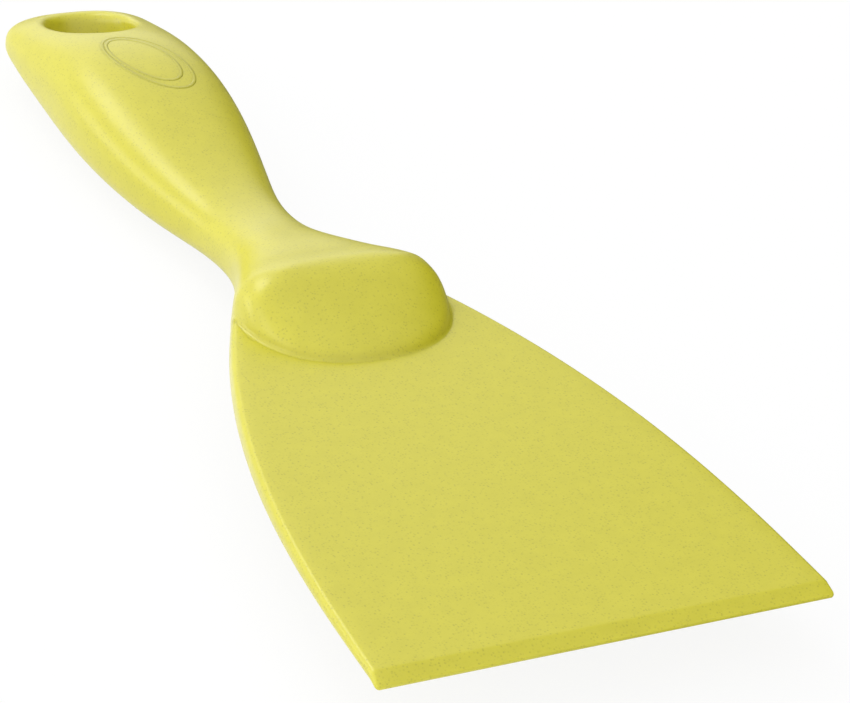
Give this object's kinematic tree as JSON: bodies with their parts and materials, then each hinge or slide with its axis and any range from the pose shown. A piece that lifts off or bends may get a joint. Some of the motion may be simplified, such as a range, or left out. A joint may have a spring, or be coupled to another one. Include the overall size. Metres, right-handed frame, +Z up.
{
  "type": "hand scraper",
  "caption": "Moulded yellow plastic hand scraper with a flared, bevelled blade, a waisted grip and a hanging eye.",
  "frame": {"origin": "Centre of the bounding box in plan, at the height of the tool's lowest point.", "axes": "+Y runs from the working edge towards the hanging eye, +Z points up out of the bevelled face, +X across the blade."},
  "size_m": [0.075, 0.205, 0.0211],
  "materials": {
    "blade_plastic": "Moulded yellow plastic, satin, with fine dark speckles",
    "handle_plastic": "Moulded yellow plastic, satin, with fine dark speckles"
  },
  "bodies": {
    "root": {"blade": "blade_plastic", "handle": "handle_plastic"}
  },
  "joints": []
}
